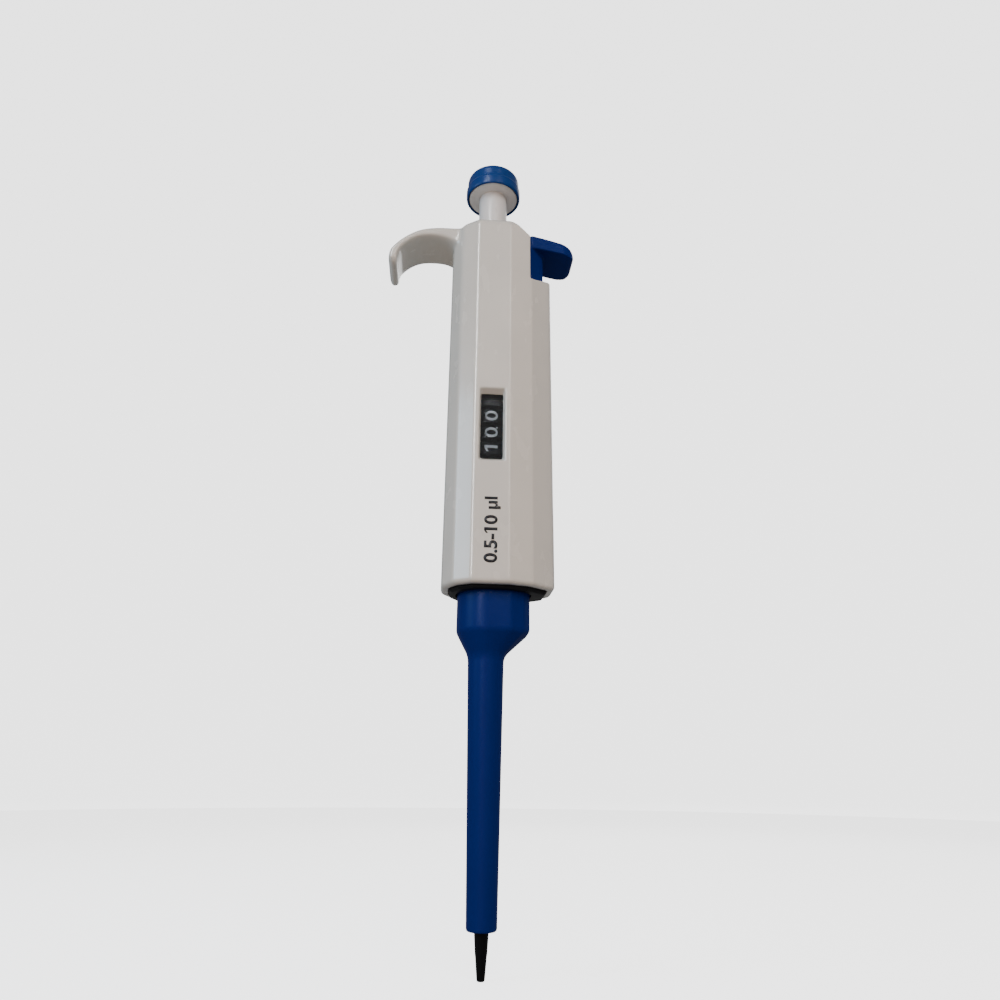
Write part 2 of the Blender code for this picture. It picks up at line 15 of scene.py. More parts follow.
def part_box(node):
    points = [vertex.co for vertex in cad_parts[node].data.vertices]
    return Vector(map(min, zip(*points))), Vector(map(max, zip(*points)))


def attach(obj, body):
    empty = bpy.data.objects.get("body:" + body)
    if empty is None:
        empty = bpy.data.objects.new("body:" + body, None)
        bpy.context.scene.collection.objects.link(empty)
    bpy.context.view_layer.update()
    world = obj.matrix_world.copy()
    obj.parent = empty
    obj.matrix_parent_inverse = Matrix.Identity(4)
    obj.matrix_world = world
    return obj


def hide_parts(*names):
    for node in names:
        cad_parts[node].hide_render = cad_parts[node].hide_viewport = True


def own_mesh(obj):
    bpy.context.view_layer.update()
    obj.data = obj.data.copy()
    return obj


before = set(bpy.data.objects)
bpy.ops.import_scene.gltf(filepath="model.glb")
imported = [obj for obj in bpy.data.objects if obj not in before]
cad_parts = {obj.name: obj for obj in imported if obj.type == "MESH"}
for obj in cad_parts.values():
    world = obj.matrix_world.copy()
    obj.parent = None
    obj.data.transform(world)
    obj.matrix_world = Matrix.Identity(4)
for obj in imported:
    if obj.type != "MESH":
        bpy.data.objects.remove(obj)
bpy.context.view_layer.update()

MM = 0.001


# Meshes


def add_piece(name, mesh, finish, body=None, replaced=None):
    """A shown piece with its material, riding on a body and standing for a CAD node."""
    piece = bpy.data.objects.new(name, mesh)
    bpy.context.scene.collection.objects.link(piece)
    mesh.materials.clear()
    mesh.materials.append(finish)
    if body:
        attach(piece, body)
    if replaced:
        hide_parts(replaced)
    return piece


def mesh_from(name, points, faces):
    """A mesh from points in millimetres, faces turned outwards."""
    mesh = bpy.data.meshes.new(name)
    mesh.from_pydata([Vector(p) * MM for p in points], [], faces)
    work = bmesh.new()
    work.from_mesh(mesh)
    bmesh.ops.recalc_face_normals(work, faces=work.faces)
    work.to_mesh(mesh)
    work.free()
    return mesh


def soften(points, size, count=4, closed=False):
    """Rounds the corners of a line of points, from up to size away. size is a number or a list of them."""
    line = []
    total = len(points)
    sizes = size if isinstance(size, list) else [size] * total
    for i in range(total):
        here = Vector(points[i])
        if not closed and i in (0, total - 1):
            line.append(tuple(here))
            continue
        back = Vector(points[i - 1]) - here
        ahead = Vector(points[(i + 1) % total]) - here
        start = here + back.normalized() * min(sizes[i], 0.45 * back.length)
        end = here + ahead.normalized() * min(sizes[i], 0.45 * ahead.length)
        for k in range(count + 1):
            t = k / count
            line.append(tuple(start * (1 - t) ** 2 + here * 2 * t * (1 - t) + end * t * t))
    return line


def through(points, count):
    """A smooth line through a few points, both ends included."""
    line = []
    ends = [points[0], *points, points[-1]]
    for i in range(1, len(ends) - 2):
        p0, p1, p2, p3 = (Vector(p) for p in ends[i - 1 : i + 3])
        for k in range(count):
            t = k / count
            bend = (2 * p0 - 5 * p1 + 4 * p2 - p3) * t * t + (3 * p1 - p0 - 3 * p2 + p3) * t**3
            line.append((2 * p1 + (p2 - p0) * t + bend) / 2)
    return line + [Vector(points[-1])]


def lathe(name, profile, steps=96, closed=False):
    """Turns a (radius, height) line about Z. It starts and ends on the axis, or closes on itself."""
    points, rings, faces = [], [], []
    for r, z in profile:
        if r < 1e-6:
            rings.append([len(points)])
            points.append((0.0, 0.0, z))
            continue
        rings.append(list(range(len(points), len(points) + steps)))
        for k in range(steps):
            angle = math.tau * k / steps
            points.append((r * math.cos(angle), r * math.sin(angle), z))
    pairs = list(zip(rings, rings[1:]))
    if closed:
        pairs.append((rings[-1], rings[0]))
    for a, b in pairs:
        for k in range(steps):
            m = (k + 1) % steps
            if len(a) == 1 and len(b) == 1:
                continue
            if len(a) == 1:
                faces.append((a[0], b[m], b[k]))
            elif len(b) == 1:
                faces.append((a[k], a[m], b[0]))
            else:
                faces.append((a[k], a[m], b[m], b[k]))
    mesh = mesh_from(name, points, faces)
    mesh.shade_smooth()
    mesh.set_sharp_from_angle(angle=math.radians(40.0))
    return mesh


def stack(name, sections, looped=False):
    """Joins rings of the same number of points, capped at both ends, or joined first to last."""
    points = [p for section in sections for p in section]
    count = len(sections[0])
    faces = []
    last = len(sections) if looped else len(sections) - 1
    for i in range(last):
        a, b = i * count, (i + 1) % len(sections) * count
        for k in range(count):
            m = (k + 1) % count
            faces.append((a + k, a + m, b + m, b + k))
    if not looped:
        faces.append(tuple(range(count)))
        faces.append(tuple(range((len(sections) - 1) * count, len(sections) * count)))
    return mesh_from(name, points, faces)


def slab(name, outline, low, high, along="Z"):
    """A prism: (x, y) points along Z, (x, z) points along Y, or (y, z) points along X."""
    turn = {
        "Z": lambda u, v, w: (u, v, w),
        "Y": lambda u, v, w: (u, w, v),
        "X": lambda u, v, w: (w, u, v),
    }[along]
    return stack(name, [[turn(u, v, level) for u, v in outline] for level in (low, high)])


def solid(mesh):
    """A working object, which never stays in the scene."""
    thing = bpy.data.objects.new(mesh.name, mesh)
    bpy.context.scene.collection.objects.link(thing)
    return thing


def settled(thing):
    """The mesh of a working object with its modifiers applied. The object is removed."""
    bpy.context.view_layer.update()
    graph = bpy.context.evaluated_depsgraph_get()
    mesh = bpy.data.meshes.new_from_object(thing.evaluated_get(graph))
    bpy.data.objects.remove(thing, do_unlink=True)
    return mesh


def merged(mesh, other, operation):
    """The exact union, difference or intersection of two closed meshes."""
    thing, tool = solid(mesh), solid(other)
    step = thing.modifiers.new("merge", "BOOLEAN")
    step.operation = operation
    step.solver = "EXACT"
    step.object = tool
    made = settled(thing)
    bpy.data.objects.remove(tool, do_unlink=True)
    return made


def moulded(mesh, voxel, passes, soft_spot=None, soft_passes=30):
    """One even skin over a mesh, its edges rounded as a mould leaves them, softer inside a box."""
    thing = solid(mesh)
    step = thing.modifiers.new("skin", "REMESH")
    step.mode = "VOXEL"
    step.voxel_size = voxel * MM
    thing = solid(settled(thing))
    step = thing.modifiers.new("round", "SMOOTH")
    step.factor = 0.5
    step.iterations = passes
    if soft_spot:
        low, high, fade = soft_spot
        co = np.empty(len(thing.data.vertices) * 3)
        thing.data.vertices.foreach_get("co", co)
        co = co.reshape(-1, 3) / MM
        outside = np.maximum(np.maximum(np.array(low) - co, co - np.array(high)), 0.0)
        weight = np.clip(1.0 - np.linalg.norm(outside, axis=1) / fade, 0.0, 1.0)
        group = thing.vertex_groups.new(name="soft")
        for index in np.nonzero(weight > 0.0)[0]:
            group.add([int(index)], float(weight[index]), "REPLACE")
        step = thing.modifiers.new("fillet", "SMOOTH")
        step.factor = 0.5
        step.iterations = soft_passes
        step.vertex_group = "soft"
    made = settled(thing)
    made.shade_smooth()
    return made


# Outlines


def mirrored(half):
    return half + [(x, -y, r) for x, y, r in reversed(half)]


def inset(corners, depth):
    """The corners of a convex anticlockwise outline moved in by a depth, with smaller fillets."""
    moved = []
    for i, (x, y, r) in enumerate(corners):
        here = Vector((x, y))
        back = (here - Vector(corners[i - 1][:2])).normalized()
        ahead = (Vector(corners[(i + 1) % len(corners)][:2]) - here).normalized()
        inward = Vector((-back.y - ahead.y, back.x + ahead.x)) / (1.0 + back.dot(ahead))
        place = here + inward * depth
        moved.append((place.x, place.y, max(r - depth, 0.05)))
    return moved


def filleted(corners, count=10):
    """Outline points with an arc of each corner's radius, always the same number of points."""
    points = []
    for i, (x, y, r) in enumerate(corners):
        here = Vector((x, y))
        back = (Vector(corners[i - 1][:2]) - here).normalized()
        ahead = (Vector(corners[(i + 1) % len(corners)][:2]) - here).normalized()
        half = back.angle(ahead) / 2
        centre = here + (back + ahead).normalized() * r / math.sin(half)
        first = here + back * r / math.tan(half) - centre
        for k in range(count + 1):
            spoke = Matrix.Rotation((math.pi - 2 * half) * k / count, 2) @ first
            points.append(tuple(centre + spoke))
    return points


# Materials


class Finish:
    """A material being made: its shader, and short calls for the nodes that feed it."""

    def __init__(self, name, colour, roughness, **values):
        self.made = bpy.data.materials.new(name)
        self.made.use_nodes = True
        self.tree = self.made.node_tree
        self.shader = self.tree.nodes["Principled BSDF"]
        self.place = self.tree.nodes.new("ShaderNodeTexCoord").outputs["Object"]
        self.shader.inputs["Base Color"].default_value = (*colour, 1.0)
        self.shader.inputs["Roughness"].default_value = roughness
        self.colour = colour
        for socket, value in values.items():
            self.shader.inputs[socket.replace("_", " ")].default_value = value

    def noise(self, scale, detail=3.0, stretch=(1.0, 1.0, 1.0)):
        """Noise in object space: scale counts features per metre."""
        mapping = self.tree.nodes.new("ShaderNodeMapping")
        mapping.inputs["Scale"].default_value = stretch
        self.tree.links.new(self.place, mapping.inputs["Vector"])
        texture = self.tree.nodes.new("ShaderNodeTexNoise")
        texture.inputs["Scale"].default_value = scale
        texture.inputs["Detail"].default_value = detail
        self.tree.links.new(mapping.outputs["Vector"], texture.inputs["Vector"])
        return texture.outputs["Fac"]

    def spread(self, value, low, high, start=0.3, end=0.7):
        step = self.tree.nodes.new("ShaderNodeMapRange")
        step.inputs["From Min"].default_value = start
        step.inputs["From Max"].default_value = end
        step.inputs["To Min"].default_value = low
        step.inputs["To Max"].default_value = high
        self.tree.links.new(value, step.inputs["Value"])
        return step.outputs["Result"]

    def times(self, a, b):
        step = self.tree.nodes.new("ShaderNodeMath")
        step.operation = "MULTIPLY"
        self.tree.links.new(a, step.inputs[0])
        self.tree.links.new(b, step.inputs[1])
        return step.outputs[0]

    def blend(self, value, first, second):
        """A colour that goes from first to second with a value. Each is a colour or a socket."""
        step = self.tree.nodes.new("ShaderNodeMix")
        step.data_type = "RGBA"
        self.tree.links.new(value, step.inputs["Factor"])
        for socket, colour in ((step.inputs[6], first), (step.inputs[7], second)):
            if isinstance(colour, tuple):
                socket.default_value = (*colour, 1.0)
            else:
                self.tree.links.new(colour, socket)
        return step.outputs[2]

    def edges(self, start, end):
        """High along raised edges, where handling wears the surface."""
        shape = self.tree.nodes.new("ShaderNodeNewGeometry")
        return self.spread(shape.outputs["Pointiness"], 0.0, 1.0, start, end)

    def give(self, socket, value):
        self.tree.links.new(value, self.shader.inputs[socket])

    def bump(self, height, depth):
        """Relief of a depth in millimetres."""
        step = self.tree.nodes.new("ShaderNodeBump")
        step.inputs["Strength"].default_value = 1.0
        step.inputs["Distance"].default_value = depth * MM
        self.tree.links.new(height, step.inputs["Height"])
        self.give("Normal", step.outputs["Normal"])


def shaded(colour, factor):
    return tuple(min(1.0, c * factor) for c in colour)


def plastic(name, colour, roughness, tint=None, worn=0.0, grain=0.004, **values):
    """Moulded plastic: faint clouding, wipe marks in the gloss, a fine moulded grain and worn edges."""
    finish = Finish(name, colour, roughness, **values)
    cloud = finish.spread(finish.noise(70.0, 4.0), 0.0, 1.0)
    tone = finish.blend(cloud, shaded(colour, 0.965), tint or shaded(colour, 1.03))
    if worn:
        rubbed = finish.times(
            finish.edges(0.515, 0.56), finish.spread(finish.noise(900.0, 5.0), 0.0, worn, 0.35, 0.65)
        )
        tone = finish.blend(rubbed, tone, shaded(colour, 1.5))
    finish.give("Base Color", tone)
    wiped = finish.noise(1.0, 4.0, (240.0, 240.0, 110.0))
    finish.give("Roughness", finish.spread(wiped, roughness - 0.01, roughness + 0.02))
    finish.bump(finish.noise(5200.0, 2.0), grain)
    return finish.made


def metal(name, colour, roughness, turned=True):
    """Machined metal: turning marks round the axis, or fine grain along it."""
    finish = Finish(name, colour, roughness, Metallic=1.0)
    stretch = (40.0, 40.0, 6000.0) if turned else (5000.0, 5000.0, 60.0)
    marks = finish.noise(1.0, 3.0, stretch)
    finish.give("Base Color", finish.blend(marks, shaded(colour, 0.86), shaded(colour, 1.08)))
    finish.give("Roughness", finish.spread(marks, roughness - 0.08, roughness + 0.1))
    finish.bump(marks, 0.002)
    return finish.made


def window_plastic():
    finish = Finish(
        "window_clear", (0.93, 0.95, 0.97), 0.04, Transmission_Weight=1.0, IOR=1.49
    )
    haze = finish.noise(1.0, 4.0, (900.0, 900.0, 120.0))
    finish.give("Roughness", finish.spread(haze, 0.02, 0.08))
    return finish.made


def rubber(name, colour):
    finish = Finish(name, colour, 0.75)
    dust = finish.noise(800.0, 5.0)
    finish.give("Base Color", finish.blend(dust, colour, shaded(colour, 2.2)))
    finish.give("Roughness", finish.spread(dust, 0.65, 0.85))
    finish.bump(dust, 0.01)
    return finish.made


def printed(name, colour, roughness):
    """A thin coat of pad-printing ink, a little uneven."""
    finish = Finish(name, colour, roughness)
    coverage = finish.noise(2600.0, 4.0)
    finish.give("Base Color", finish.blend(coverage, shaded(colour, 0.85), shaded(colour, 1.15)))
    finish.give("Roughness", finish.spread(coverage, roughness - 0.06, roughness + 0.08))
    finish.bump(coverage, 0.002)
    return finish.made


IVORY = plastic(
    "ivory_satin", (0.69, 0.665, 0.61), 0.26, (0.705, 0.677, 0.62), 0.15,
    Coat_Weight=0.5, Coat_Roughness=0.09,
)
BLUE = plastic("cap_blue", (0.002, 0.034, 0.17), 0.3, None, 0.4, Specular_IOR_Level=0.2)
NAVY = plastic("ejector_navy", (0.0005, 0.013, 0.13), 0.36, None, 0.4, Specular_IOR_Level=0.08)
BLACK = plastic("nose_black", (0.002, 0.002, 0.0025), 0.36, None, 0.3, Specular_IOR_Level=0.15)
DRUM = plastic("drum_black", (0.006, 0.007, 0.009), 0.4, Specular_IOR_Level=0.2)
WHITE = plastic("stem_white", (0.74, 0.725, 0.71), 0.28, None, 0.2)
GREY = plastic("inner_grey", (0.05, 0.05, 0.055), 0.5)
# Near-black cover plate: painted shade standing in for the shadowed recess inside the handle's open end.
SHADE_BLACK = plastic("cover_painted_shade", (0.004, 0.004, 0.006), 0.5, Specular_IOR_Level=0.2)
CLEAR = window_plastic()
STEEL = metal("turned_steel", (0.58, 0.58, 0.59), 0.24)
WIRE = metal("spring_wire", (0.6, 0.6, 0.61), 0.22, False)
BRASS = metal("turned_brass", (0.74, 0.53, 0.22), 0.28)
RUBBER = rubber("seal_rubber", (0.015, 0.015, 0.016))
DIGIT_INK = printed("digit_ink", (0.75, 0.78, 0.82), 0.5)
RANGE_INK = printed("range_ink", (0.006, 0.006, 0.008), 0.42)


# CAD nodes that stay, with their finished materials

KEPT = {
    "top_bush": GREY,
    "window_lens": CLEAR,
    "counter_frame": GREY,
    "pinion_shaft": STEEL,
    "spring_housing": GREY,
    "calibration_nut": BRASS,
    "coupling_nut": STEEL,
    "stop_guide": STEEL,
    "ejector_guide": GREY,
    "piston_seal": WHITE,
    "seal_oring": RUBBER,
    "seal_retainer": STEEL,
    "piston_head": GREY,
    "piston_rod": STEEL,
    "blowout_plate": STEEL,
    "tenths_drum": DRUM,
    "units_drum": DRUM,
    "tens_drum": DRUM,
    "carry_pinion_units": WHITE,
    "carry_pinion_tens": WHITE,
    "volume_driver": WHITE,
    "stop_nut": BRASS,
    "drive_hub": GREY,
    "push_rod": STEEL,
    "ejector_bar": STEEL,
}


def finish_kept_nodes():
    for name, finish in KEPT.items():
        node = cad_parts[name]
        node.data.materials.clear()
        node.data.materials.append(finish)
        weld = node.modifiers.new("weld", "WELD")
        weld.merge_threshold = 0.000002
        node.data.shade_smooth()
        split = node.modifiers.new("edges", "EDGE_SPLIT")
        split.split_angle = math.radians(35.0)


# Handle

HANDLE_HALF = [
    (-12.5, -4.4, 4.0),
    (-9.6, -9.3, 4.0),
    (-4.9, -12.2, 2.0),
    (4.9, -12.2, 2.0),
    (11.5, -10.2, 0.8),
    (18.0, -5.0, 3.5),
]
HANDLE_TOP = 207.0
FRONT = 12.2
WALL = 2.0
GAP = 0.3
RIM = 1.2
TOP_RIM = 3.2
RIM_STEPS = 8
SHOULDER = (4.0, 207.6)
NOTCH_X = 11.1
NOTCH_TOP = 201.8
NOTCH_FLOOR = 186.0
UPPER_CAVITY_X = 8.6
UPPER_CAVITY_TOP = 202.2
STEM_HOLE_R = 5.1


def handle_walls(corners, low, high):
    """The handle's outside, with round rims."""
    turns = [math.pi / 2 * k / RIM_STEPS for k in range(RIM_STEPS + 1)]
    levels = [(RIM * (1.0 - math.sin(t)), low + RIM * (1.0 - math.cos(t))) for t in turns]
    levels += [(TOP_RIM * (1.0 - math.sin(t)), high - TOP_RIM * (1.0 - math.cos(t))) for t in turns[::-1]]
    sections = []
    for depth, height in levels:
        sections.append([(x, y, height) for x, y in filleted(inset(corners, depth))])
    return stack("handle_walls", sections)


def hook_bar():
    """The finger hook: rounded sections between its upper and lower lines, closed round at the tip."""
    upper = through(
        [(-4.0, 206.5), (-8.5, 206.6), (-12.5, 206.3), (-17.0, 205.9), (-23.0, 204.5), (-28.1, 201.1),
         (-31.8, 196.9), (-32.45, 194.1)], 7,
    )
    lower = through(
        [(-6.0, 193.0), (-10.0, 197.6), (-12.9, 200.6), (-17.0, 201.9), (-22.0, 201.8), (-25.6, 200.3),
         (-28.5, 197.4), (-29.6, 194.7)], 7,
    )
    rings = []
    steps = 40
    for top, bottom in zip(upper, lower):
        rings.append(((top + bottom) / 2, (top - bottom) / 2, 7.45))
    centre, half, wide = rings[-1]
    down = Vector((half.y, -half.x)).normalized() * 2.4
    if down.y > 0:
        down = -down
    for k in range(1, 9):
        turn = math.pi / 2 * k / 8.4
        shrink = math.cos(turn)
        rings.append((centre + down * math.sin(turn), half * shrink, wide - 3.0 * (1.0 - shrink)))
    sections = []
    for middle, reach, width in rings:
        section = []
        for k in range(steps):
            angle = math.tau * k / steps
            up = math.copysign(abs(math.cos(angle)) ** 0.5, math.cos(angle))
            side = math.copysign(abs(math.sin(angle)) ** 0.32, math.sin(angle))
            place = middle + reach * up
            section.append((place.x, side * width, place.y))
        sections.append(section)
    return stack("hook_bar", sections)


def window_opening(front):
    """The window's opening with its sloped bezel, wide at the front face."""
    sections = []
    for depth, half, low, high in (
        (-1.0, 3.95, 124.5, 147.6),
        (0.0, 3.62, 124.95, 147.2),
        (WALL, 3.0, 126.2, 145.9),
        (WALL + 2.0, 3.0, 126.2, 145.9),
    ):
        y = front + depth
        sections.append([(-half, y, low), (half, y, low), (half, y, high), (-half, y, high)])
    return stack("window_opening", sections)


def make_handle():
    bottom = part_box("handle_body")[0].z / MM
    corners = mirrored(HANDLE_HALF)
    body = merged(handle_walls(corners, bottom, HANDLE_TOP), hook_bar(), "UNION")
    slope = [SHOULDER, (NOTCH_X, NOTCH_TOP), (NOTCH_X, NOTCH_FLOOR), (30.0, 193.4), (30.0, 220.0)]
    slope += [(SHOULDER[0], 220.0)]
    body = merged(body, slab("slope", slope, -20.0, 20.0, "Y"), "DIFFERENCE")
    inner = inset(corners, WALL)
    body = merged(body, slab("cavity", filleted(inner), 80.0, NOTCH_FLOOR - WALL), "DIFFERENCE")
    left = [corner for corner in inner if corner[0] < 0]
    right = [(UPPER_CAVITY_X, -8.6, 1.0), (UPPER_CAVITY_X, 8.6, 1.0)]
    upper = filleted(left[:3] + right + left[3:])
    cavity = slab("upper_cavity", upper, NOTCH_FLOOR - 2 * WALL, UPPER_CAVITY_TOP)
    body = merged(body, cavity, "DIFFERENCE")
    hole = lathe("stem_hole", [(0.0, 215.0), (STEM_HOLE_R, 215.0), (STEM_HOLE_R, 198.0), (0.0, 198.0)])
    body = merged(body, hole, "DIFFERENCE")
    neck = [(NOTCH_X + 0.05, -7.4), (16.2, -3.9), (16.2, 3.9), (NOTCH_X + 0.05, 7.4)]
    body = merged(body, slab("neck_slot", neck, 180.0, 195.0), "DIFFERENCE")
    body = merged(body, window_opening(-FRONT), "DIFFERENCE")
    hook_root = ((-15.0, -9.5, 196.0), (-7.0, 9.5, 208.0), 2.5)
    mesh = moulded(body, 0.25, 3, hook_root, 60)
    add_piece("handle_shell", mesh, IVORY, "handle", "handle_body")


# Turned pieces


def make_plunger():
    cap = [
        (0.0, 231.6), (6.6, 231.5), (7.7, 231.1), (8.25, 230.4), (8.4, 229.5), (8.4, 227.0),
        (8.8, 226.5), (8.8, 223.8), (8.55, 223.3), (8.15, 223.3), (8.15, 224.9), (4.8, 224.9),
        (4.8, 229.0), (0.0, 229.0),
    ]
    mesh = lathe("cap_skin", soften(cap, 0.45, 4), 128)
    add_piece("plunger_cap_skin", mesh, BLUE, "plunger", "plunger_cap")
    disc = [(4.52, 223.3), (4.8, 223.3), (5.3, 223.45), (7.85, 223.6), (7.85, 224.6), (4.52, 224.6)]
    disc = soften(disc, 0.2, 4, True)
    mesh = lathe("disc", disc, 128, True)
    add_piece("cap_disc", mesh, WHITE, "plunger", "cap_insert")
    stem = [
        (0.0, 228.7), (4.5, 228.7), (4.5, 200.3), (3.9, 199.7), (3.9, 182.3), (1.6, 182.3),
        (1.6, 226.0), (0.0, 226.0),
    ]
    mesh = lathe("stem", soften(stem, 0.3, 4), 96)
    add_piece("plunger_stem_skin", mesh, WHITE, "plunger", "plunger_stem")


def make_nose():
    outer = [
        (7.6, 106.8), (7.6, 105.3), (6.9, 105.3), (6.9, 84.5), (3.2, 78.0), (3.2, 72.0), (2.5, 15.0),
        (1.85, 12.2), (1.78, 10.2), (1.46, 5.4), (1.38, 5.0), (0.98, 0.3), (0.83, 0.0),
    ]
    inner = [
        (0.4, 0.0), (0.4, 4.2), (0.7, 5.0), (0.7, 56.0), (2.2, 56.0), (2.2, 88.0), (5.2, 91.5), (5.2, 106.8),
    ]
    mesh = lathe("nose", soften(outer + inner, 0.12, 3, True), 72, True)
    add_piece("nose_cone", mesh, BLACK, "handle", "tip_cone")


# Tip ejector

COLLAR = [(0.0, -8.0, 0.05), (6.0, -7.4, 1.5), (9.5, -5.4, 1.5), (11.4, -2.6, 1.5)]
COLLAR_R = 8.0
COLLAR_GAP = 0.5
SLEEVE_STEPS = 120


def collar_reach():
    """The collar's radius at each of SLEEVE_STEPS angles: a round back, and room for the ejector bar."""
    back = [
        (COLLAR_R * math.cos(math.radians(a)), COLLAR_R * math.sin(math.radians(a)), 0.05)
        for a in range(90, 270, 3)
    ]
    line = filleted(back + COLLAR + [(x, -y, r) for x, y, r in reversed(COLLAR[1:])], 6)
    reach = []
    for i in range(SLEEVE_STEPS):
        angle = math.tau * i / SLEEVE_STEPS
        ray = Vector((math.cos(angle), math.sin(angle)))
        best = 0.0
        for k in range(len(line)):
            start = Vector(line[k - 1])
            edge = Vector(line[k]) - start
            cross = ray.x * edge.y - ray.y * edge.x
            if abs(cross) < 1e-12:
                continue
            distance = (start.x * edge.y - start.y * edge.x) / cross
            share = (start.x * ray.y - start.y * ray.x) / cross
            if distance > 0 and -1e-6 <= share <= 1 + 1e-6:
                best = max(best, distance)
        reach.append(best)
    return reach


def make_sleeve():
    """Each level is (share of the collar's outline, radius or wall added to it, height)."""
    wall = 0.8
    levels = [
        (1.0, 0.0, 104.0), (1.0, 0.0, 80.0), (0.0, 4.75, 73.8), (0.0, 3.7, 10.7), (0.0, 3.5, 10.2),
        (0.0, 2.2, 10.2), (0.0, 2.2, 12.0), (0.0, 2.85, 12.6), (0.0, 3.95, 73.8), (1.0, -wall, 81.0),
        (1.0, -wall, 104.0),
    ]
    sizes = [0.35, 0.9, 1.6, 0.3, 0.3, 0.2, 0.2, 0.3, 2.0, 2.0, 0.3]
    reach = collar_reach()
    sections = []
    for share, r, z in soften(levels, sizes, 5, True):
        section = []
        for k, far in enumerate(reach):
            angle = math.tau * k / SLEEVE_STEPS
            radius = share * far + r
            section.append((radius * math.cos(angle), radius * math.sin(angle), z))
        sections.append(section)
    mesh = stack("sleeve", sections, True)
    mesh.shade_smooth()
    mesh.set_sharp_from_angle(angle=math.radians(40.0))
    add_piece("ejector_sleeve_skin", mesh, NAVY, "ejector", "ejector_sleeve")


def make_cover():
    """The plate in the open end of the handle, near-black as painted shade for the shadowed recess there,
    with a round edge and room for the collar.
    """
    low, high = (corner.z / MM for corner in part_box("bottom_cover"))
    plate = inset(mirrored(HANDLE_HALF), WALL + GAP)
    edge = 0.9
    sections = []
    for k in range(7):
        turn = math.pi / 2 * k / 6
        outline = filleted(inset(plate, edge * (1.0 - math.sin(turn))))
        sections.append([(x, y, low + edge * (1.0 - math.cos(turn))) for x, y in outline])
    sections.append([(x, y, high) for x, y in filleted(plate)])
    opening = []
    for k, far in enumerate(collar_reach()):
        angle = math.tau * k / SLEEVE_STEPS
        r = far + COLLAR_GAP
        opening.append((r * math.cos(angle), r * math.sin(angle)))
    mesh = merged(stack("cover", sections), slab("opening", opening, low - 1.0, high + 1.0), "DIFFERENCE")
    mesh.shade_smooth()
    mesh.set_sharp_from_angle(angle=math.radians(40.0))
    add_piece("bottom_cover_plate", mesh, SHADE_BLACK, "handle", "bottom_cover")


def make_button():
    line = [(11.5, 205.0), (18.0, 203.4), (23.0, 201.9), (25.0, 200.9), (25.8, 199.6)]
    top = [tuple(p) for p in through(line, 6)]
    under = [(25.4, 198.5), (24.3, 198.1), (16.0, 199.6), (11.5, 200.3)]
    button = slab("button", top + under, -6.8, 6.8, "Y")
    plan = [(11.4, -6.85, 1.2), (25.9, -6.85, 4.8), (25.9, 6.85, 4.8), (11.4, 6.85, 1.2)]
    button = merged(button, slab("plan", filleted(plan, 12), 190.0, 210.0), "INTERSECT")
    neck = [(11.5, -6.9), (15.8, -3.5), (15.8, 3.5), (11.5, 6.9)]
    button = merged(button, slab("neck", neck, 182.5, 201.0), "UNION")
    foot = [(10.7, -3.4), (15.6, -3.4), (15.6, 3.4), (10.7, 3.4)]
    button = merged(button, slab("foot", foot, 166.0, 184.0), "UNION")
    neck_top = ((13.0, -6.5, 198.0), (17.5, 6.5, 200.5), 1.5)
    mesh = moulded(button, 0.2, 8, neck_top, 25)
    add_piece("ejector_button_skin", mesh, NAVY, "ejector", "ejector_button")


# Springs


def spring(name, mean, wire, low, high, turns, x=0.0):
    """A compression spring with closed ends, as one tube with capped ends."""
    per_turn = 28
    sides = 10
    count = turns * per_turn
    points = []
    faces = []
    for i in range(count + 1):
        share = i / count
        flat = 0.9 / turns
        rise = min(max((share - flat) / (1 - 2 * flat), 0.0), 1.0)
        ends = min(share / flat, 1.0) - min((1.0 - share) / flat, 1.0)
        z = low + wire + (high - low - 2 * wire) * (0.96 * rise + 0.02 * (ends + 1.0))
        angle = math.tau * i / per_turn
        for k in range(sides):
            side = math.tau * k / sides
            r = mean + wire * math.cos(side)
            points.append((x + r * math.cos(angle), r * math.sin(angle), z + wire * math.sin(side)))
    for i in range(count):
        for k in range(sides):
            m = (k + 1) % sides
            a, b = i * sides, (i + 1) * sides
            faces.append((a + k, a + m, b + m, b + k))
    faces.append(tuple(range(sides)))
    faces.append(tuple(range(count * sides, (count + 1) * sides)))
    mesh = mesh_from(name, points, faces)
    mesh.shade_smooth()
    mesh.set_sharp_from_angle(angle=math.radians(50.0))
    return mesh


def make_springs():
    for node, joint, travel, mean, wire, turns, x in (
        ("piston_spring", "plunger_press", 14.0, 1.45, 0.22, 12, 0.0),
        ("blowout_spring", "plunger_press", 3.0, 4.3, 0.4, 4, 0.0),
        ("ejector_spring", "ejector_press", 8.0, 2.0, 0.3, 6, 13.0),
    ):
        low, high = (corner.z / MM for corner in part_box(node))
        mesh = spring(node + "_wire", mean, wire, low, high, turns, x)
        piece = add_piece(node + "_coil", mesh, WIRE, "handle", node)
        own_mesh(piece)


# Printing


BAR_HEIGHT = (6.5, 7.7)
FLAG = [(0.0, 0.0), (-1.5, -1.1), (-1.5, -2.2), (0.0, -1.2)]
BENDS = 14


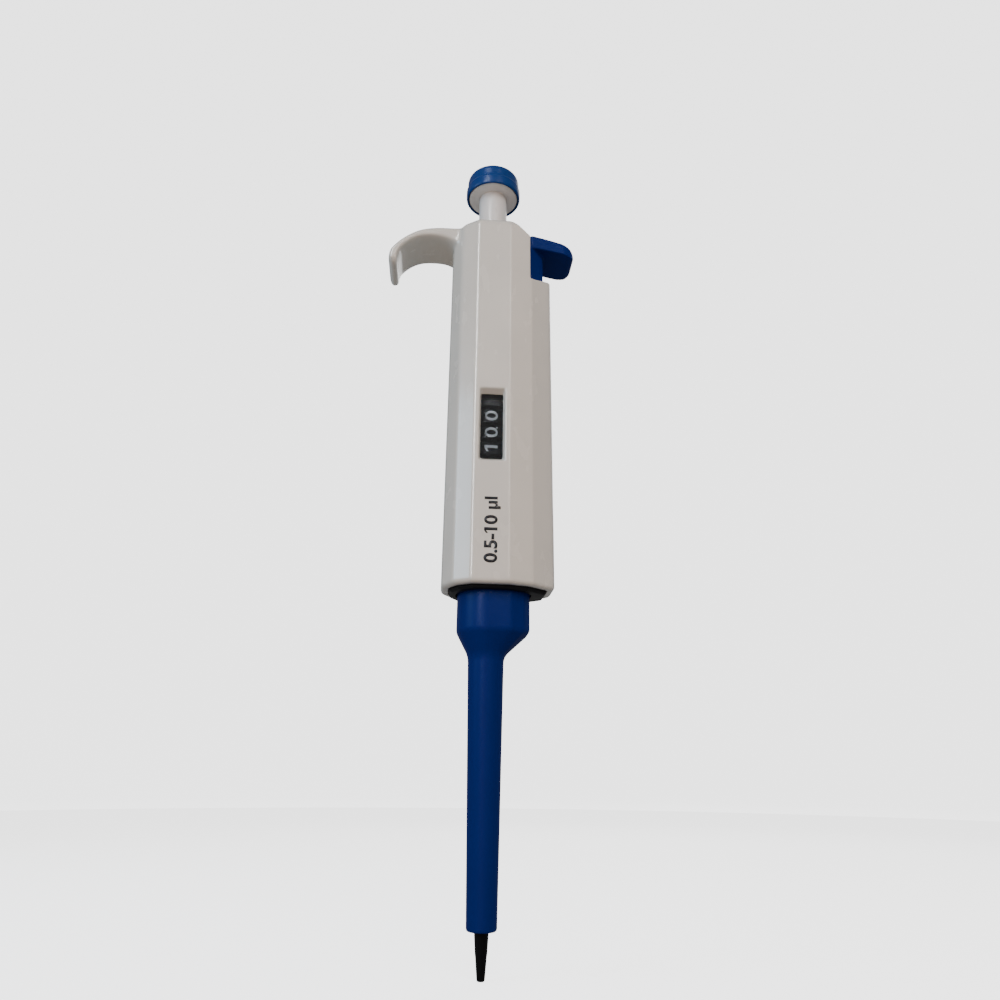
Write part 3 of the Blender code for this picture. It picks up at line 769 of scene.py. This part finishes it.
def glyphs(text, heavier):
    """The flat faces of a text in font units, with a flag on its first 1, cut so that they can bend."""
    curve = bpy.data.curves.new("glyphs", "FONT")
    curve.body = text
    curve.size = 10.0
    curve.offset = heavier
    curve.resolution_u = 6
    work = bmesh.new()
    work.from_mesh(settled(solid(curve)))
    bmesh.ops.remove_doubles(work, verts=work.verts, dist=0.001)
    if "1" in text:
        bars = []
        for edge in work.edges:
            a, b = (vert.co for vert in edge.verts)
            if abs(a.x - b.x) < 0.01 and BAR_HEIGHT[0] < abs(a.y - b.y) < BAR_HEIGHT[1]:
                bars.append((a.x, max(a.y, b.y)))
        left, top = min(bars)
        work.faces.new([work.verts.new((left + x, top + y, 0.0)) for x, y in FLAG])
    low = min(vert.co.y for vert in work.verts)
    high = max(vert.co.y for vert in work.verts)
    for k in range(1, BENDS):
        level = (0.0, low + (high - low) * k / BENDS, 0.0)
        whole = work.verts[:] + work.edges[:] + work.faces[:]
        bmesh.ops.bisect_plane(work, geom=whole, plane_co=level, plane_no=(0.0, 1.0, 0.0))
    return work


def print_on(name, text, height, thickness, place, heavier=0.0, tall=None, wider=1.0):
    """Text as a thin closed solid. place turns (along, up, out) in millimetres into a point."""
    work = glyphs(text, heavier)
    grown = bmesh.ops.extrude_face_region(work, geom=work.faces[:])
    raised = {item for item in grown["geom"] if isinstance(item, bmesh.types.BMVert)}
    xs = [vert.co.x for vert in work.verts]
    ys = [vert.co.y for vert in work.verts]
    scale = height / (tall or (max(ys) - min(ys)))
    middle = (min(xs) + max(xs)) / 2
    base = min(ys)
    for vert in work.verts:
        along = (vert.co.x - middle) * scale * wider
        up = (vert.co.y - base) * scale - height / 2
        out = thickness if vert in raised else 0.0
        vert.co = Vector(place(along, up, out)) * MM
    bmesh.ops.recalc_face_normals(work, faces=work.faces)
    mesh = bpy.data.meshes.new(name)
    work.to_mesh(mesh)
    work.free()
    return mesh


def joined(name, meshes):
    work = bmesh.new()
    for mesh in meshes:
        work.from_mesh(mesh)
    made = bpy.data.meshes.new(name)
    work.to_mesh(made)
    work.free()
    return made


DRUM_R = 8.3
RING_HEIGHT = 0.55
DIGIT_HEIGHT = 3.7
DIGIT_THICKNESS = 0.02
DIGIT_LIFT = 0.005
POINT_ALONG = 1.5
POINT_UP = 0.25


def on_drum(centre, level, ahead=0.0, above=0.0):
    """Where print on a drum goes: its height bends round the drum, and its length runs along the axis."""
    def place(along, up, out):
        angle = centre - (up + above) / DRUM_R
        r = DRUM_R + DIGIT_LIFT + out
        return (r * math.cos(angle), r * math.sin(angle), level + ahead + along)

    return place


def make_digits():
    """Ten digits round each drum, read from below upwards, and a point beside each unit."""
    for node, body, shown, dotted in (
        ("tenths_drum", "volume_screw", 0, False),
        ("units_drum", "units_counter", 0, True),
        ("tens_drum", "tens_counter", 1, False),
    ):
        low, high = (corner.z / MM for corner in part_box(node))
        top = high if node == "tenths_drum" else high - RING_HEIGHT
        level = (low + RING_HEIGHT + top) / 2
        meshes = []
        for digit in range(10):
            centre = math.radians(-90.0 - 36.0 * (digit - shown))
            place = on_drum(centre, level)
            text = str(digit)
            meshes.append(print_on("digit", text, DIGIT_HEIGHT, DIGIT_THICKNESS, place, 0.1, wider=1.3))
            if dotted:
                place = on_drum(centre, level, POINT_ALONG, POINT_UP - DIGIT_HEIGHT / 2)
                meshes.append(print_on("point", ".", 0.45, DIGIT_THICKNESS, place))
        mesh = joined(node + "_digits", meshes)
        add_piece(node + "_digits", mesh, DIGIT_INK, body, None)


def make_range():
    """The volume range on the front face, read from below upwards."""
    def on_face(along, up, out):
        return (0.8 - up, 0.01 - FRONT - out, 105.3 + along)

    mesh = print_on("range", "0.5-10 µl", 3.6, 0.05, on_face, 0.32, 7.6, 1.08)
    add_piece("range_text", mesh, RANGE_INK, "handle", None)


# Studio


def make_backdrop():
    """A pale floor that curves up all round, so that every side has the same background."""
    line = [(0.0, 0.0), (900.0, 0.0)]
    for k in range(1, 13):
        turn = math.pi / 2 * k / 12
        line.append((900.0 + 900.0 * math.sin(turn), 900.0 * (1.0 - math.cos(turn))))
    line += [(1800.0, 2400.0), (1500.0, 3000.0), (800.0, 3400.0), (0.001, 3500.0)]
    points, faces = [], []
    steps = 72
    for r, z in line[1:]:
        for k in range(steps):
            angle = math.tau * k / steps
            points.append((r * math.cos(angle), r * math.sin(angle), z - 0.05))
    points.append((0.0, 0.0, -0.05))
    for i in range(len(line) - 2):
        for k in range(steps):
            m = (k + 1) % steps
            a, b = i * steps, (i + 1) * steps
            faces.append((a + k, a + m, b + m, b + k))
    for k in range(steps):
        faces.append((len(points) - 1, k, (k + 1) % steps))
    mesh = bpy.data.meshes.new("backdrop")
    mesh.from_pydata([Vector(p) * MM for p in points], [], faces)
    mesh.shade_smooth()
    finish = Finish("backdrop_paper", (0.9, 0.9, 0.9), 0.9, Emission_Strength=2.6, Specular_IOR_Level=0.1)
    finish.shader.inputs["Emission Color"].default_value = (1.0, 1.0, 1.0, 1.0)
    paper = finish.noise(30.0, 3.0)
    finish.give("Base Color", finish.blend(paper, (0.89, 0.89, 0.89), (0.92, 0.92, 0.92)))
    mesh.materials.append(finish.made)
    backdrop = bpy.data.objects.new("backdrop", mesh)
    bpy.context.scene.collection.objects.link(backdrop)
    backdrop.visible_diffuse = False
    backdrop.visible_glossy = False
    backdrop.visible_transmission = False


def add_light(name, place, aim, size, watts, colour, lights=True, shines=True):
    """An area light. It can light surfaces without being reflected, or only be reflected."""
    light = bpy.data.lights.new(name, "AREA")
    light.shape = "RECTANGLE"
    light.size = size[0]
    light.size_y = size[1]
    light.energy = watts
    light.color = colour
    lamp = bpy.data.objects.new(name, light)
    bpy.context.scene.collection.objects.link(lamp)
    lamp.location = place
    lamp.rotation_euler = (Vector(aim) - Vector(place)).to_track_quat("-Z", "Y").to_euler()
    lamp.visible_diffuse = lights
    lamp.visible_glossy = shines
    lamp.visible_transmission = shines


def make_studio():
    make_backdrop()
    world = bpy.data.worlds.new("studio")
    world.use_nodes = True
    world.node_tree.nodes["Background"].inputs["Color"].default_value = (1.0, 1.0, 1.0, 1.0)
    world.node_tree.nodes["Background"].inputs["Strength"].default_value = 0.26
    bpy.context.scene.world = world
    middle = (0.0, 0.0, 0.13)
    add_light("key", (-0.68, -0.26, 0.34), middle, (0.3, 0.34), 2.5, (0.55, 0.78, 1.0))
    add_light("front", (0.0, -0.8, 0.62), middle, (0.4, 0.4), 3.0, (0.92, 0.97, 1.0), True, False)
    add_light("fill", (0.3, -0.66, 0.42), middle, (0.3, 0.5), 1.8, (1.0, 0.84, 0.76), True, False)
    hook = (-0.01, 0.0, 0.2)
    add_light("bounce", (-0.1, -0.45, 0.03), hook, (0.3, 0.2), 0.6, (1.0, 0.6, 0.36), True, False)
    add_light("back", (0.3, 0.6, 0.6), middle, (0.5, 0.5), 1.5, (1.0, 1.0, 1.0))
    add_light("left_strip", (-0.33, -0.63, 0.5), middle, (0.12, 0.6), 6.0, (0.95, 0.98, 1.0), False)
    add_light("right_strip", (0.27, -0.7, 0.5), middle, (0.04, 0.6), 1.0, (1.0, 0.98, 0.95), False)


def make_camera():
    """The camera of the reference view: low, in front, looking up along the instrument."""
    azimuth = math.radians(3.5)
    distance = 0.200
    data = bpy.data.cameras.new("camera")
    data.lens = 27.0
    data.sensor_width = 36.0
    data.clip_start = 0.01
    camera = bpy.data.objects.new("camera", data)
    bpy.context.scene.collection.objects.link(camera)
    place = Vector((-distance * math.sin(azimuth), -distance * math.cos(azimuth), 0.0451))
    turn = (
        Matrix.Rotation(-math.radians(4.45), 4, "Z")
        @ Matrix.Rotation(math.radians(110.0), 4, "X")
        @ Matrix.Rotation(math.radians(0.6), 4, "Z")
    )
    camera.matrix_world = Matrix.Translation(place) @ turn
    bpy.context.scene.camera = camera


finish_kept_nodes()
make_handle()
make_plunger()
make_nose()
make_sleeve()
make_cover()
make_button()
make_springs()
make_digits()
make_range()
make_studio()
make_camera()
